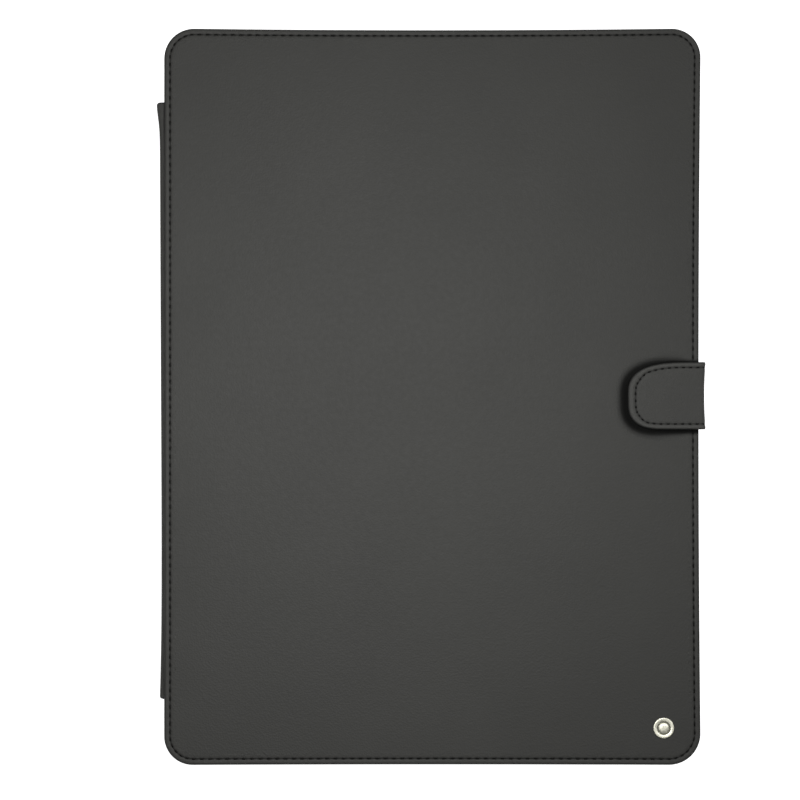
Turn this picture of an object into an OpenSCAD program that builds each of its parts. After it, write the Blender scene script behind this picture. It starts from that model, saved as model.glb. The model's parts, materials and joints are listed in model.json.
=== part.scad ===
// Leather folio case for a large tablet, closed and lying on its back.
// Frame: millimetres, +Z up out of the front cover, +Y to the tablet's top edge, +X to the closing strap.
// The origin is on the surface that the case lies on, under the middle of the case.

/* [Tablet] */
// Width of the tablet that the case holds
tablet_w = 220.6; // [220.2:0.1:220.8]
// Height of the tablet
tablet_h = 305.7; // [305.3:0.1:305.9]
// Thickness of the tablet
tablet_t = 6.9; // [6.8:0.05:7]
// Radius of the tablet's corners
tablet_corner_r = 12; // [10:0.5:14]

/* [Back shell] */
// Free space between tablet and wall on each side
bay_clearance = 0.3; // [0.2:0.05:0.4]
// Thickness of the shell's walls
shell_wall = 1.4; // [1.2:0.1:1.5]
// Thickness of the shell's floor
shell_floor = 1.5; // [1.2:0.1:2]
// Thickness of the leather on the back
back_leather_t = 1; // [0.8:0.1:1.2]
// Thickness of the leather round the walls
side_leather_t = 0.9; // [0.6:0.1:1]
// Thickness of the microfibre on the shell's floor
lining_t = 0.5; // [0.4:0.05:0.6]
// Height of the lips that hold the tablet's corners
lip_t = 0.6; // [0.4:0.1:0.8]
// How far the lips reach over the tablet
lip_reach = 1.2; // [0.8:0.1:1.5]
// Length of the lips along each side, from the shell's corner
lip_length = 30; // [24:1:40]

/* [Cut-outs] */
// Diameter of the camera opening in the back
camera_d = 14; // [12:0.5:16]
// Distance of the camera's centre from the tablet's side and top edges
camera_inset = 13; // [12:0.5:16]
// Height of the slots in the walls
slot_h = 5; // [4.8:0.1:5.2]
// Width of the charging socket's slot
charge_slot_w = 16; // [14:1:20]
// Width of each speaker slot
speaker_slot_w = 28; // [20:1:30]
// Distance of the speaker slots from the middle
speaker_slot_x = 62; // [56:1:66]
// Width of the headphone socket's slot
audio_slot_w = 10; // [9:0.5:12]
// Width of the power button's slot
power_slot_w = 20; // [16:1:22]
// Distance of the audio and power slots from the middle
top_corner_slot_x = 90; // [88:0.5:92]
// Length of the volume buttons' slot
volume_slot_w = 28; // [24:1:30]
// Distance of the volume slot from the middle of the side
volume_slot_y = 118; // [110:1:122]

/* [Front cover] */
// Width of the front cover
cover_w = 228; // [227.6:0.1:228.4]
// Height of the front cover
cover_h = 313; // [312:0.5:314]
// Radius of the cover's corners
cover_corner_r = 12.5; // [11:0.5:14]
// Space between the tray's lips and the cover
cover_gap = 0.2; // [0.2:0.05:0.4]
// Thickness of the cover's padded lining
cover_lining_t = 0.9; // [0.9:0.1:1.2]
// Thickness of the stiffening board
board_t = 1.5; // [1.4:0.1:2]
// Thickness of the cover's leather
cover_leather_t = 1.2; // [1:0.1:1.4]
// Distance of the stitches from the cover's edge
stitch_inset = 2.5; // [2:0.1:3.5]
// Width of the thread
thread_w = 0.7; // [0.5:0.1:0.9]
// Depth that the thread is let in
thread_depth = 0.3; // [0.2:0.05:0.4]

/* [Spine] */
// Length of the hinge strip
spine_length = 253.6; // [240:0.2:260]
// How far the strip's middle lies below the cover's middle
spine_drop = 1.7; // [0:0.1:3]
// Width of the edges by which the strip is fixed
flange_w = 16; // [12:1:20]
// Thickness of the strip and of the strap's side, with their lining
strip_t = 1.5; // [1.4:0.1:1.6]
// Thickness of the leather in them
strip_leather_t = 1; // [0.9:0.05:1.1]

/* [Closing strap] */
// Width of the strap
strap_w = 28.6; // [24:0.2:32]
// How far the strap's middle lies above the cover's middle
strap_y = 0.4; // [-2:0.1:2]
// Length of the tab on the front, from the fold's axis to its tip
tab_length = 31.2; // [28:0.2:36]
// Radius of the tab's upper corner
tab_upper_r = 14; // [8:0.5:14]
// Radius of the tab's lower corner
tab_lower_r = 8.5; // [6:0.5:14]
// Thickness of the tab's leather, which holds the magnet
tab_leather_t = 1.6; // [1.4:0.1:1.8]
// Thickness of the tab's lining
tab_lining_t = 0.8; // [0.6:0.1:1]
// Space between the cover and the tab
tab_gap = 0.3; // [0.2:0.05:0.5]
// Length of the strap's sewn end on the back
anchor_length = 24; // [20:1:30]

/* [Fittings] */
// Diameter of the metal stud's head
stud_d = 8.8; // [7:0.2:10]
// Height of the stud's head
stud_head_h = 1.1; // [0.8:0.1:1.4]
// Distance of the stud from the cover's right and bottom edges
stud_inset = 15.8; // [14:0.2:18]
// Diameter of the magnet in the tab
tab_magnet_d = 12; // [10:1:14]
// Thickness of the magnet in the tab
tab_magnet_t = 1; // [0.8:0.1:1.2]

/* [Hidden] */
$fn = 64;

// How far a cutting solid runs past the surface that it cuts
eps = 0.5;
// Space between a fixed edge and the strip that folds on it
fold_gap = 0.25;

// Widths and heights of the layers round the tablet
bay_w = tablet_w + 2 * bay_clearance;
bay_h = tablet_h + 2 * bay_clearance;
shell_w = bay_w + 2 * shell_wall;
shell_h = bay_h + 2 * shell_wall;
skin_w = shell_w + 2 * side_leather_t;
skin_h = shell_h + 2 * side_leather_t;
bay_r = tablet_corner_r + bay_clearance;
shell_r = bay_r + shell_wall;
skin_r = shell_r + side_leather_t;

// Levels, from the surface that the case lies on
z_shell = back_leather_t;
z_pad = z_shell + shell_floor;
z_tablet = z_pad + lining_t;
z_rim = z_tablet + tablet_t;
z_cover = z_rim + lip_t + cover_gap;
z_board = z_cover + cover_lining_t;
z_face = z_board + board_t;
z_cover_top = z_face + cover_leather_t;
z_tab = z_cover_top + tab_gap;
z_tab_leather = z_tab + tab_lining_t;
z_tab_top = z_tab_leather + tab_leather_t;
z_slot = z_tablet + (tablet_t - slot_h) / 2;

// Hinge strip: the axes of its two folds, and its ends
strip_r = strip_t / 2;
fold_reach = 1.2;
spine_x = -(cover_w / 2 + fold_reach);
spine_z_low = strip_r;
spine_z_high = z_board + strip_leather_t / 2;
spine_y = -spine_drop;
flange_edge_x = spine_x + strip_r + fold_gap;

// Strap: the axes of its two folds
strap_x = cover_w / 2 + fold_reach;
strap_z_low = strip_r;
strap_z_high = (z_tab + z_tab_top) / 2;
strap_edge_x = strap_x - strip_r - fold_gap;
tab_tip_x = strap_x - tab_length;

// Places of the stud, the magnets and the steel plate
stud_x = cover_w / 2 - stud_inset;
stud_y = -(cover_h / 2 - stud_inset);
stud_shank_d = 2.4;
washer_d = 7;
washer_t = 0.5;
magnet_x = tab_tip_x + 12;
keeper_size = [18, 20];
keeper_t = 0.6;
sleep_magnet_d = 8;
sleep_magnet_t = 1;
sleep_magnet_x = 104;
sleep_magnet_y = [-70, -58, 58, 70];
camera_x = tablet_w / 2 - camera_inset;
camera_y = tablet_h / 2 - camera_inset;

// Cover's inner parts: the board inside the turned leather, and the pockets
cover_turn = 1.2;
board_w = cover_w - 2 * cover_turn;
board_h = cover_h - 2 * cover_turn;
board_r = cover_corner_r - cover_turn;
lining_margin = 1.5;
pocket_t = 0.5;
pocket_w = 206;
document_pocket_h = 150;
document_pocket_y = -146;
card_pocket_w = 100;
card_pocket_h = 56;
card_step = 18;
card_pocket_x = 3;
card_pocket_y = 24;
pocket_stitch_inset = 2.5;

// Rounded rectangle about the origin, built from squares and circles so that its corners are true arcs
module rounded_rect(w, h, r) {
    square([w - 2 * r, h], center = true);
    square([w, h - 2 * r], center = true);
    for (x = [-1, 1], y = [-1, 1])
        translate([x * (w / 2 - r), y * (h / 2 - r)]) circle(r);
}

// Plate of that outline, from level z and t thick
module rounded_plate(w, h, r, z, t) {
    translate([0, 0, z]) linear_extrude(t) rounded_rect(w, h, r);
}

// Outline of a closed line of thread inside a rounded rectangle
module thread_ring(w, h, r, inset) {
    difference() {
        rounded_rect(w - 2 * inset, h - 2 * inset, r - inset);
        rounded_rect(w - 2 * (inset + thread_w), h - 2 * (inset + thread_w), r - inset - thread_w);
    }
}

// Section of a folding strip that stands on end, with round edges on both fold axes
module strip_section(x, z_low, z_high) {
    translate([x, z_low]) circle(strip_r);
    translate([x, z_high]) circle(strip_r);
    translate([x - strip_r, z_low]) square([strip_t, z_high - z_low]);
}

// The layer of such a strip from x0 to x1, along Y from y0 for a length
module strip_layer(x, z_low, z_high, x0, x1, y0, length) {
    translate([0, y0 + length, 0]) rotate([90, 0, 0]) linear_extrude(length) intersection() {
        strip_section(x, z_low, z_high);
        translate([x0, z_low - strip_t]) square([x1 - x0, z_high - z_low + 2 * strip_t]);
    }
}

// Outline of the tab, smaller all round by inset, from its tip to x_end
module tongue(inset, x_end) {
    tip = tab_tip_x + inset;
    top = strap_y + strap_w / 2 - inset;
    bottom = strap_y - strap_w / 2 + inset;
    upper = tab_upper_r - inset;
    lower = tab_lower_r - inset;
    translate([tip + upper, top - upper]) circle(upper);
    translate([tip + lower, bottom + lower]) circle(lower);
    translate([tip, bottom + lower]) square([upper, top - upper - bottom - lower]);
    translate([tip + lower, bottom]) square([upper, top - upper - bottom]);
    translate([tip + upper, bottom]) square([x_end - tip - upper, top - bottom]);
}

// Outline of the strap's sewn end on the back
module anchor_outline(inset) {
    anchor_r = 5;
    w = anchor_length - 2 * inset;
    translate([strap_edge_x - anchor_length / 2, strap_y])
        rounded_rect(w, strap_w - 2 * inset, anchor_r - inset);
    translate([strap_edge_x - anchor_r, strap_y - strap_w / 2 + inset])
        square([anchor_r - inset, strap_w - 2 * inset]);
}

// Outline of the hinge strip's sewn edge, as it lies on the back or in the cover
module flange_outline(margin) {
    translate([flange_edge_x - margin, spine_y - spine_length / 2 - margin])
        square([flange_w + 2 * margin, spine_length + 2 * margin]);
}

// Slot through the tray's end wall at x and side (1 top, -1 bottom)
module end_slot(x, side, w) {
    translate([x - w / 2, side * bay_h / 2 - shell_wall * 2, z_slot])
        cube([w, shell_wall * 4, slot_h]);
}

// All slots in the tray's walls
module wall_slots() {
    end_slot(0, -1, charge_slot_w);
    for (x = [-1, 1], side = [-1, 1]) end_slot(x * speaker_slot_x, side, speaker_slot_w);
    end_slot(-top_corner_slot_x, 1, audio_slot_w);
    end_slot(top_corner_slot_x, 1, power_slot_w);
    translate([bay_w / 2 - shell_wall * 2, volume_slot_y - volume_slot_w / 2, z_slot])
        cube([shell_wall * 4, volume_slot_w, slot_h]);
}

// Camera opening through the back
module camera_hole() {
    translate([camera_x, camera_y, -eps]) cylinder(d = camera_d, h = z_tablet + 2 * eps);
}

// Pocket panel on the cover's inner face, from its lower left corner
module pocket_panel(x, y, w, h) {
    translate([x, y, z_cover - pocket_t]) cube([w, h, pocket_t]);
}

// One straight line of pocket stitches, let in to the pocket's face
module pocket_line(x, y, w, h) {
    translate([x, y, z_cover - pocket_t]) cube([w, h, pocket_t / 2]);
}

// Rigid tray that holds the tablet
module shell() {
    color("#2b2b2b") difference() {
        union() {
            rounded_plate(shell_w, shell_h, shell_r, z_shell, z_rim - z_shell);
            intersection() {
                rounded_plate(shell_w, shell_h, shell_r, z_rim, lip_t);
                for (x = [-1, 1], y = [-1, 1])
                    translate([x * shell_w / 2, y * shell_h / 2, z_rim])
                        cube([2 * lip_length, 2 * lip_length, 2 * lip_t], center = true);
            }
        }
        rounded_plate(bay_w, bay_h, bay_r, z_pad, z_rim - z_pad);
        rounded_plate(bay_w - 2 * lip_reach, bay_h - 2 * lip_reach, bay_r - lip_reach, z_rim - eps, 2);
        wall_slots();
        camera_hole();
    }
}

// Leather panel on the back, with room for the hinge strip's edge and the strap's end
module back_leather() {
    color("#3f3f3d") difference() {
        rounded_plate(skin_w, skin_h, skin_r, 0, back_leather_t);
        translate([0, 0, -eps]) linear_extrude(back_leather_t + 2 * eps) {
            flange_outline(0);
            anchor_outline(0);
        }
        camera_hole();
    }
}

// Leather band round the tray's walls
module side_leather() {
    color("#3a3a38") difference() {
        rounded_plate(skin_w, skin_h, skin_r, z_shell, z_rim - z_shell);
        rounded_plate(shell_w, shell_h, shell_r, z_shell - eps, z_rim - z_shell + 2 * eps);
        wall_slots();
    }
}

// Microfibre pad on the tray's floor
module tray_lining() {
    color("#4a4a48") difference() {
        rounded_plate(bay_w, bay_h, bay_r, z_pad, lining_t);
        camera_hole();
    }
}

// Hinge strip's edge on the back
module spine_back_flange() {
    color("#3a3a38") difference() {
        linear_extrude(back_leather_t) flange_outline(0);
        spine_back_line(eps);
    }
}

// Row of stitches that holds it; extra lengthens the solid downwards when it cuts its own groove
module spine_back_line(extra) {
    translate([
        flange_edge_x + flange_w - stitch_inset,
        spine_y - spine_length / 2 + stitch_inset,
        -extra
    ]) cube([thread_w, spine_length - 2 * stitch_inset, thread_depth + extra]);
}

// Thread in that groove
module spine_back_thread() {
    color("#1a1a1a") spine_back_line(0);
}

// Strap's end on the back
module strap_anchor() {
    color("#3a3a38") difference() {
        linear_extrude(back_leather_t) anchor_outline(0);
        translate([0, 0, -eps]) linear_extrude(thread_depth + eps) anchor_thread_outline();
    }
}

// Outline of the strap's row of stitches, open where the strap leaves the back
module anchor_thread_outline() {
    difference() {
        anchor_outline(stitch_inset);
        anchor_outline(stitch_inset + thread_w);
    }
}

// Stitches of the strap's end
module strap_anchor_thread() {
    color("#1a1a1a") linear_extrude(thread_depth) anchor_thread_outline();
}

// Outer leather of the hinge strip
module spine_leather() {
    color("#383836") strip_layer(
        spine_x, spine_z_low, spine_z_high,
        spine_x - strip_r - eps, spine_x - strip_r + strip_leather_t,
        spine_y - spine_length / 2, spine_length
    );
}

// Lining of the hinge strip
module spine_lining() {
    color("#4a4a48") strip_layer(
        spine_x, spine_z_low, spine_z_high,
        spine_x - strip_r + strip_leather_t, spine_x + strip_r + eps,
        spine_y - spine_length / 2, spine_length
    );
}

// Leather face of the cover, turned down round the board
module cover_leather() {
    color("#4b4b49") difference() {
        rounded_plate(cover_w, cover_h, cover_corner_r, z_board, z_cover_top - z_board);
        rounded_plate(board_w, board_h, board_r, z_board - eps, board_t + eps);
        translate([0, 0, z_cover_top - thread_depth]) linear_extrude(2 * thread_depth)
            thread_ring(cover_w, cover_h, cover_corner_r, stitch_inset);
        translate([0, 0, z_board - eps]) linear_extrude(strip_leather_t + eps) flange_outline(0);
        stud_bore();
    }
}

// Bore for the stud's shank through leather and board
module stud_bore() {
    translate([stud_x, stud_y, z_cover + eps / 2])
        cylinder(d = stud_shank_d + 0.1, h = z_cover_top - z_cover);
}

// Stiffening board, with recesses for the hinge strip's edge, the plate, the magnets and the washer
module cover_board() {
    color("#6b6256") difference() {
        rounded_plate(board_w, board_h, board_r, z_board, board_t);
        translate([0, 0, z_board - eps]) linear_extrude(strip_leather_t + eps) flange_outline(0);
        translate([magnet_x - keeper_size[0] / 2, strap_y - keeper_size[1] / 2, z_face - keeper_t])
            cube([keeper_size[0], keeper_size[1], keeper_t + eps]);
        for (y = sleep_magnet_y)
            translate([sleep_magnet_x, y, z_face - sleep_magnet_t])
                cylinder(d = sleep_magnet_d, h = sleep_magnet_t + eps);
        translate([stud_x, stud_y, z_board - eps]) cylinder(d = washer_d, h = washer_t + eps);
        stud_bore();
    }
}

// Microfibre lining of the cover
module cover_lining() {
    color("#4a4a48") rounded_plate(
        cover_w - 2 * lining_margin, cover_h - 2 * lining_margin,
        cover_corner_r - lining_margin, z_cover, cover_lining_t
    );
}

// Stitches round the cover
module cover_thread() {
    color("#161616") translate([0, 0, z_cover_top - thread_depth]) linear_extrude(thread_depth)
        thread_ring(cover_w, cover_h, cover_corner_r, stitch_inset);
}

// Hinge strip's edge in the cover
module spine_front_flange() {
    color("#3a3a38") translate([0, 0, z_board]) linear_extrude(strip_leather_t) flange_outline(0);
}

// Large pocket on the cover's inner face
module document_pocket() {
    color("#454543") difference() {
        pocket_panel(-pocket_w / 2, document_pocket_y, pocket_w, document_pocket_h);
        document_pocket_lines();
    }
}

// Its stitches: down both sides and along the bottom
module document_pocket_lines() {
    inset = pocket_stitch_inset;
    left = -pocket_w / 2 + inset;
    right = pocket_w / 2 - inset - thread_w;
    bottom = document_pocket_y + inset;
    pocket_line(left, bottom, right - left + thread_w, thread_w);
    for (x = [left, right]) pocket_line(x, bottom, thread_w, document_pocket_h - 2 * inset);
}

// Upper card slot
module card_pocket_upper() {
    color("#454543") difference() {
        pocket_panel(card_pocket_x, card_pocket_y + card_pocket_h, card_pocket_w, card_step);
        card_pocket_lines();
    }
}

// Lower card slot
module card_pocket_lower() {
    color("#454543") difference() {
        pocket_panel(card_pocket_x, card_pocket_y, card_pocket_w, card_pocket_h);
        card_pocket_lines();
    }
}

// Stitches of both card slots: down both sides and along the bottom
module card_pocket_lines() {
    inset = pocket_stitch_inset;
    left = card_pocket_x + inset;
    right = card_pocket_x + card_pocket_w - inset - thread_w;
    bottom = card_pocket_y + inset;
    pocket_line(left, bottom, right - left + thread_w, thread_w);
    for (x = [left, right])
        pocket_line(x, bottom, thread_w, card_pocket_h + card_step - 2 * inset);
}

// All pocket stitches
module pocket_thread() {
    color("#161616") {
        document_pocket_lines();
        card_pocket_lines();
    }
}

// Domed metal stud with its shank
module badge_stud() {
    rim_h = 0.35;
    dome_h = stud_head_h - rim_h;
    dome_r = (pow(stud_d / 2, 2) + pow(dome_h, 2)) / (2 * dome_h);
    color("#d8d6c4") translate([stud_x, stud_y, z_cover_top]) {
        cylinder(d = stud_d, h = rim_h);
        intersection() {
            translate([0, 0, rim_h - dome_r + dome_h]) sphere(dome_r, $fn = 160);
            cylinder(d = stud_d, h = stud_head_h);
        }
        translate([0, 0, -(z_cover_top - z_board)]) cylinder(d = stud_shank_d, h = z_cover_top - z_board);
    }
}

// Washer on the shank
module badge_washer() {
    color("#9a9a98") translate([stud_x, stud_y, z_board]) difference() {
        cylinder(d = washer_d, h = washer_t);
        translate([0, 0, -eps]) cylinder(d = stud_shank_d, h = washer_t + 2 * eps);
    }
}

// Steel plate for the tab's magnet
module keeper_plate() {
    color("#8a8a8a")
        translate([magnet_x - keeper_size[0] / 2, strap_y - keeper_size[1] / 2, z_face - keeper_t])
            cube([keeper_size[0], keeper_size[1], keeper_t]);
}

// Magnets that wake the screen
module sleep_magnets() {
    color("#b0b0b0") for (y = sleep_magnet_y)
        translate([sleep_magnet_x, y, z_face - sleep_magnet_t])
            cylinder(d = sleep_magnet_d, h = sleep_magnet_t);
}

// Outer leather of the strap's side
module strap_side_leather() {
    color("#383836") strip_layer(
        strap_x, strap_z_low, strap_z_high,
        strap_x + strip_r - strip_leather_t, strap_x + strip_r + eps,
        strap_y - strap_w / 2, strap_w
    );
}

// Lining of the strap's side
module strap_side_lining() {
    color("#4a4a48") strip_layer(
        strap_x, strap_z_low, strap_z_high,
        strap_x - strip_r - eps, strap_x + strip_r - strip_leather_t,
        strap_y - strap_w / 2, strap_w
    );
}

// Leather of the tab, hollowed for the magnet
module tab_leather() {
    color("#494947") difference() {
        translate([0, 0, z_tab_leather]) linear_extrude(tab_leather_t) tongue(0, strap_edge_x);
        translate([magnet_x, strap_y, z_tab_leather - eps])
            cylinder(d = tab_magnet_d, h = tab_magnet_t + eps);
        translate([0, 0, z_tab_top - thread_depth]) linear_extrude(2 * thread_depth) tab_thread_outline();
    }
}

// Lining under the tab
module tab_lining() {
    color("#4a4a48") translate([0, 0, z_tab]) linear_extrude(tab_lining_t) tongue(0, strap_edge_x);
}

// Outline of the tab's stitches, which run out at the fold
module tab_thread_outline() {
    tab_stitch_inset = 2.2;
    difference() {
        tongue(tab_stitch_inset, strap_edge_x - tab_stitch_inset);
        tongue(tab_stitch_inset + thread_w, strap_edge_x);
    }
}

// Stitches of the tab
module tab_thread() {
    color("#161616") translate([0, 0, z_tab_top - thread_depth])
        linear_extrude(thread_depth) tab_thread_outline();
}

// Magnet in the tab
module tab_magnet() {
    color("#b0b0b0") translate([magnet_x, strap_y, z_tab_leather])
        cylinder(d = tab_magnet_d, h = tab_magnet_t);
}

shell();
back_leather();
side_leather();
tray_lining();
spine_back_flange();
spine_back_thread();
strap_anchor();
strap_anchor_thread();
spine_leather();
spine_lining();
cover_leather();
cover_board();
cover_lining();
cover_thread();
spine_front_flange();
document_pocket();
card_pocket_upper();
card_pocket_lower();
pocket_thread();
badge_stud();
badge_washer();
keeper_plate();
sleep_magnets();
strap_side_leather();
strap_side_lining();
tab_leather();
tab_lining();
tab_thread();
tab_magnet();
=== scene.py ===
"""Looks of a leather folio case for a large tablet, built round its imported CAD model.

Lengths are in millimetres until a mesh is made. Each soft piece is drawn flat, as its maker would cut it:
u and v run along the sheet, and d is the depth below its visible face. It is then placed in the model.
"""

import json
import math
from collections import namedtuple

import bmesh
import bpy
import numpy as np
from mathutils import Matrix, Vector
from mathutils.geometry import delaunay_2d_cdt


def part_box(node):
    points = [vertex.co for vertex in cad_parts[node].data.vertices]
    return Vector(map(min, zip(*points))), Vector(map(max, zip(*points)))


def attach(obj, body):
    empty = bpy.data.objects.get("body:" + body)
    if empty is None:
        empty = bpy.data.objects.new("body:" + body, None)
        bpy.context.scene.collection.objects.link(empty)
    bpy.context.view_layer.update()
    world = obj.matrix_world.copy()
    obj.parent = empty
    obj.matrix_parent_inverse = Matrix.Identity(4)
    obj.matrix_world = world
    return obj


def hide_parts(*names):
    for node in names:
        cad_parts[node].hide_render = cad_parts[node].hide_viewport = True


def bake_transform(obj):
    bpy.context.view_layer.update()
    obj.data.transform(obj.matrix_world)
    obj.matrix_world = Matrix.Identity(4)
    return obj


MM = 0.001

# Sewing
STATIONS = 10            # points of an edge for each stitch
COVER_PITCH = 3.55
STRAP_PITCH = 3.1
COVER_SEAM_INSET = 2.5
STRAP_SEAM_INSET = 2.3
POCKET_SEAM_INSET = 2.5
SMALL_PITCH = 3.0
THREAD_WIDTH = 0.66
THREAD_HEIGHT = 0.4
STITCH_SHARE = 0.42      # part of the pitch over which the thread shows
THREAD_SIDES = 8
STITCH_HALF = [(-0.12, 0.45, 0.42), (0.02, 0.78, 0.14), (0.2, 0.98, 0.03)]   # place, width and depth
PIT_DEPTH = 0.34
STRAP_PIT_DEPTH = 0.22
LINING_PIT_DEPTH = 0.16
PIT_WIDTH = 0.36

# Sheets
STRAP_LEATHER = 1.0
STRAP_LINING = 0.5
LINING_SET_BACK = 0.5
CAMERA_RADIUS = 7.0
BAND_LEATHER = 0.9
BAND_CELL = 1.6
SHARP_ANGLE = math.radians(55)
ARC_POINTS = 24
FINE_STEPS = 4000        # points of a line that is searched along

# Camera, background and light; the floor's size, the lights' places and their sizes are in metres
COVER_SHARE_OF_VIEW = 0.9214
CAMERA_SIDE_STEP = -13.8
CAMERA_DOWN_STEP = -1.4
CAMERA_HEIGHT = 2600
SENSOR = 36
FLOOR_DROP = 60          # the folded-back cover hangs this far below the tray
FLOOR_SIZE = 20
FLOOR_GLOW = 0.97
SKY_STRENGTH = 0.2
OVERHEAD_PLACE = (-0.045, 0.01, 0.31)
OVERHEAD_AIM = (-0.045, 0.01, 0)
OVERHEAD_SIZE, OVERHEAD_POWER = 0.26, 1.19
KEY_PLACE = (0.9, 0.7, 1.35)
KEY_SIZE, KEY_POWER = 0.3, 11

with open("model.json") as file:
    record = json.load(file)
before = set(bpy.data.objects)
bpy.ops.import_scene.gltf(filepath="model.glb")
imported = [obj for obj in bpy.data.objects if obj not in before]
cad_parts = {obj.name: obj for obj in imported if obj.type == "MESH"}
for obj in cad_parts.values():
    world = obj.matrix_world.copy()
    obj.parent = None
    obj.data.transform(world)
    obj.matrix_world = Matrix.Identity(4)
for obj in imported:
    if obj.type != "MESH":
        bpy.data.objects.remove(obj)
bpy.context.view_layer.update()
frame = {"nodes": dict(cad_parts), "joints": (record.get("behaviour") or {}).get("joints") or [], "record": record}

Seam = namedtuple("Seam", "inset pit")


# ------------ places, from the frame

def box(node):
    """Lowest and highest corner of a CAD node, in millimetres."""
    low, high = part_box(node)
    return np.array(low) / MM, np.array(high) / MM


def opening(name):
    """Lowest and highest corner of a stated opening, in millimetres."""
    found = [o for o in frame["record"]["physics"]["openings"] if o["name"] == name]
    low, high = found[0]["box_m"]
    return np.array(low) / MM, np.array(high) / MM


COVER_LOW, COVER_HIGH = box("cover_leather")
SPINE_LOW, SPINE_HIGH = box("spine_leather")
FLANGE_LOW, FLANGE_HIGH = box("spine_back_flange")
TAB_LOW, TAB_HIGH = box("tab_leather")
TAB_LINING_LOW, TAB_LINING_HIGH = box("tab_lining")
ANCHOR_LOW, ANCHOR_HIGH = box("strap_anchor")
STRAP_RIGHT = box("strap_side_leather")[1][0]
BACK_CORNER = 14.6
BAY_CORNER = 12.3
FOLD_AXES = {joint["name"]: np.array(joint["pos_m"]) / MM for joint in frame["joints"]}


# ------------ outlines

def rounded(corners):
    """Closed outline, counter-clockwise, through (x, y, radius) corners with an arc at each."""
    points = []
    for i, (x, y, radius) in enumerate(corners):
        here = np.array([x, y], float)
        back = np.array(corners[i - 1][:2], float) - here
        on = np.array(corners[(i + 1) % len(corners)][:2], float) - here
        back /= np.linalg.norm(back)
        on /= np.linalg.norm(on)
        half = math.acos(max(-1, min(1, back @ on))) / 2
        centre = here + (back + on) / np.linalg.norm(back + on) * radius / math.sin(half)
        first = here + back * radius / math.tan(half) - centre
        last = here + on * radius / math.tan(half) - centre
        start = math.atan2(first[1], first[0])
        turn = (math.atan2(last[1], last[0]) - start + math.pi) % (2 * math.pi) - math.pi
        for share in np.linspace(0, 1, ARC_POINTS):
            angle = start + turn * share
            points.append(centre + radius * np.array([math.cos(angle), math.sin(angle)]))
    return np.array(points)


def rounded_box(low, high, radius):
    """Rounded rectangle between two corners."""
    (x0, y0), (x1, y1) = low[:2], high[:2]
    return rounded([(x0, y0, radius), (x1, y0, radius), (x1, y1, radius), (x0, y1, radius)])


def lengths(points):
    """Distance run so far at each point of an open line."""
    steps = np.linalg.norm(np.diff(points, axis=0), axis=1)
    return np.concatenate([[0], np.cumsum(steps)])


def along(at, run, points):
    """Points of a line, or pairs of values that go with its points, at distances along it."""
    return np.column_stack([np.interp(at, run, points[:, k]) for k in (0, 1)])


def left_of(points):
    """Unit normals on the left of an open line."""
    ahead = np.gradient(points, axis=0)
    ahead /= np.linalg.norm(ahead, axis=1)[:, None]
    return np.column_stack([-ahead[:, 1], ahead[:, 0]])


def even(points, step, multiple=1):
    """The closed line with evenly spaced points, about a step apart; their number is a multiple."""
    closed = np.vstack([points, points[:1]])
    run = lengths(closed)
    count = multiple * max(3, round(run[-1] / (step * multiple)))
    return along(np.linspace(0, run[-1], count, endpoint=False), run, closed)


def spaced(values, gap):
    """Sorted values, less those within a gap of the one before."""
    values = np.unique(np.round(values, 2))
    return values[np.concatenate([[True], np.diff(values) > gap])]


def outward(points):
    """Outward normals of a counter-clockwise closed line."""
    ahead = np.roll(points, -1, axis=0) - np.roll(points, 1, axis=0)
    ahead /= np.linalg.norm(ahead, axis=1)[:, None]
    return np.column_stack([ahead[:, 1], -ahead[:, 0]])


def inside(points, loop):
    """Which points lie inside a closed line."""
    x, y = points[:, :1], points[:, 1:]
    x0, y0 = loop[:, 0], loop[:, 1]
    x1, y1 = np.roll(x0, -1), np.roll(y0, -1)
    crosses = (y0 > y) != (y1 > y)
    flat = np.where(np.abs(y1 - y0) < 1e-12, 1e-12, y1 - y0)
    left = x < x0 + (y - y0) * (x1 - x0) / flat
    return (crosses & left).sum(axis=1) % 2 == 1


def away_from(points, loop, margin):
    """Which points are at least a margin from every point of a line."""
    apart = np.hypot(points[:, :1] - loop[:, 0], points[:, 1:] - loop[:, 1])
    return apart.min(axis=1) > margin


def smooth(low, high, value):
    """0 below low, 1 above high and a smooth rise between."""
    t = np.clip((value - low) / (high - low), 0, 1)
    return t * t * (3 - 2 * t)


def tube_faces(first, rings, sides):
    """Faces that join rings of points, numbered ring after ring from a first number."""
    start = first + sides * np.arange(rings - 1)[:, None]
    here, after = start + np.arange(sides), start + np.roll(np.arange(sides), -1)
    return np.stack([here, after, after + sides, here + sides], axis=2).reshape(-1, 4).tolist()


# ------------ flat pieces

def flat_fill(loops, grid_points, margin):
    """Triangles between an outline and its holes. They count the loops' points, then the used grid's."""
    keep = inside(grid_points, loops[0]) & away_from(grid_points, loops[0], margin)
    for hole in loops[1:]:
        keep &= ~inside(grid_points, hole) & away_from(grid_points, hole, margin)
    grid_points = grid_points[keep]
    points = np.vstack([*loops, grid_points])
    edges, start = [], 0
    for loop in loops:
        count = len(loop)
        edges += [(start + i, start + (i + 1) % count) for i in range(count)]
        start += count
    made = delaunay_2d_cdt([Vector(p) for p in points], edges, [], 0, 1e-7)
    source = np.array([ids[0] if ids else -1 for ids in made[3]])
    faces = source[np.array(made[2])]
    faces = faces[(faces >= 0).all(axis=1)]
    centres = points[faces].mean(axis=1)
    wanted = inside(centres, loops[0])
    for hole in loops[1:]:
        wanted &= ~inside(centres, hole)
    return faces[wanted], grid_points


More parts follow.
